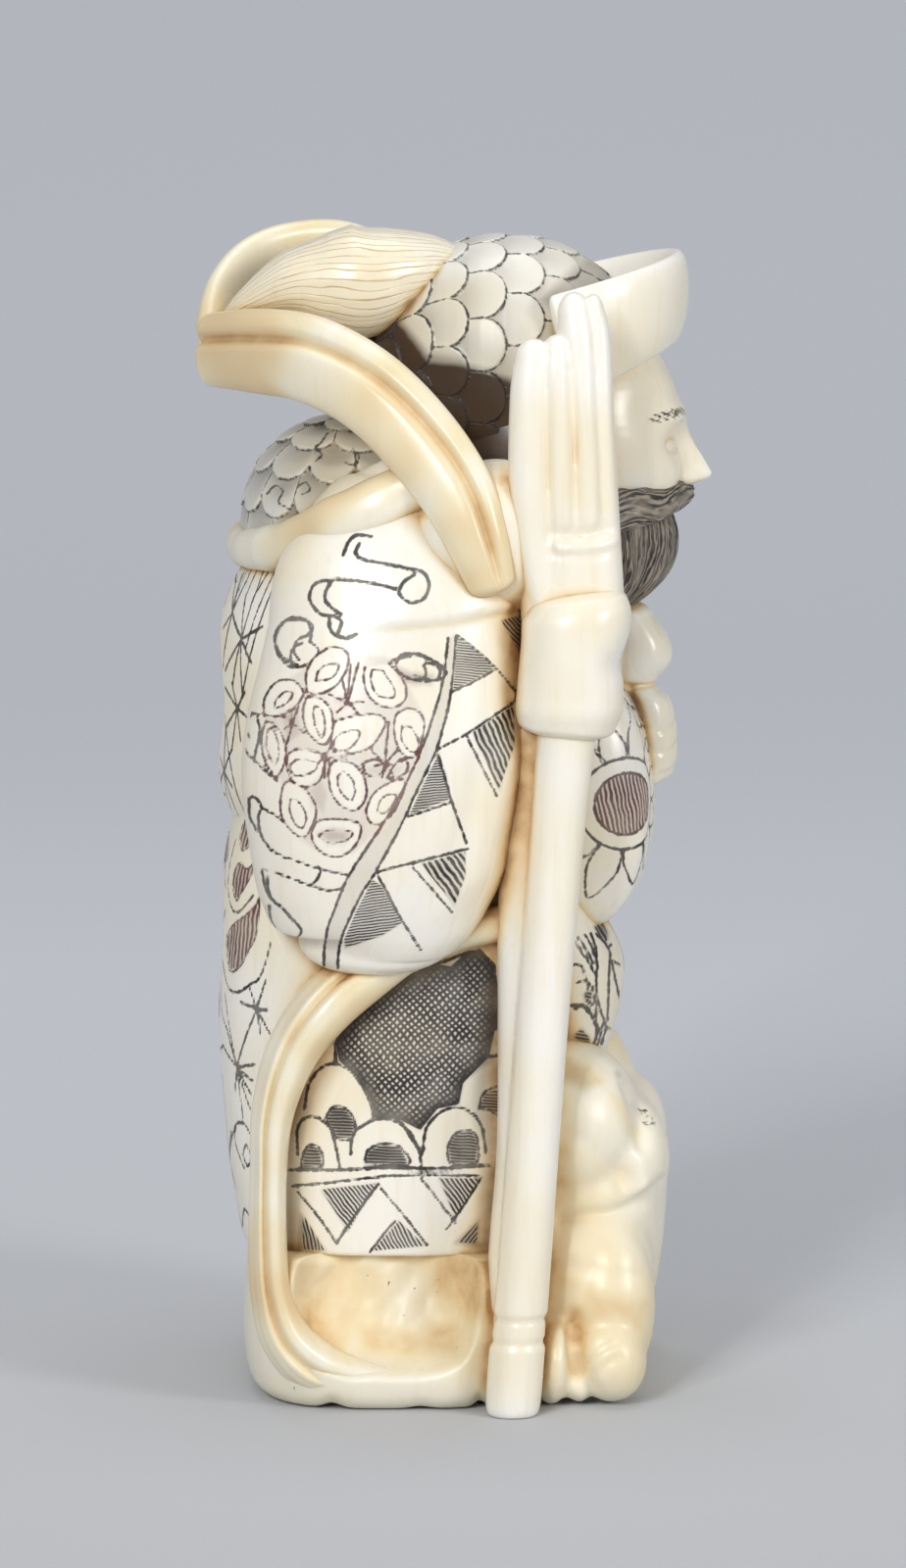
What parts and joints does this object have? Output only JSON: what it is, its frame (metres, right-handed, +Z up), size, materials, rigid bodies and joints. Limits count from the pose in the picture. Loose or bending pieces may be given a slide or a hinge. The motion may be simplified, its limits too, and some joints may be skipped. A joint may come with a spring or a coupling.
{
  "type": "carved netsuke figure",
  "caption": "Standing netsuke of a robed, bearded sage with a scaled cap, a raised hand and a staff, carved in the round with engraved, inked robes.",
  "frame": {"origin": "under the middle of the figure, on the flat underside of its base", "axes": "+X the way the figure looks, +Y its left side, +Z up; the pictured right side faces -Y"},
  "size_m": [0.023, 0.0254, 0.0537],
  "materials": {
    "ivory": "polished ivory, plain",
    "warm_ivory": "polished ivory, yellowed in the recesses",
    "engraved_ivory": "polished ivory with engraved and inked patterns",
    "inked_hair": "ivory with fine engraved, dark-stained hair strokes"
  },
  "bodies": {
    "root": {"staff": "ivory", "right_hand": "ivory", "right_cuff": "ivory", "hood_brim": "ivory", "left_fist": "ivory", "face": "ivory", "hood": "ivory", "right_cape": "ivory", "left_cape": "ivory", "right_paw": "ivory", "left_paw": "ivory", "creature": "ivory", "right_ribbon": "warm_ivory", "left_ribbon": "warm_ivory", "plume": "warm_ivory", "shoulder_roll": "warm_ivory", "right_drape": "warm_ivory", "left_drape": "warm_ivory", "base": "warm_ivory", "scaled_cap": "engraved_ivory", "scaled_bundle": "engraved_ivory", "front_sleeve": "engraved_ivory", "right_sleeve": "engraved_ivory", "left_sleeve": "engraved_ivory", "robe_flap": "engraved_ivory", "robe_skirt": "engraved_ivory", "robe_jacket": "engraved_ivory", "beard": "inked_hair"}
  },
  "joints": []
}
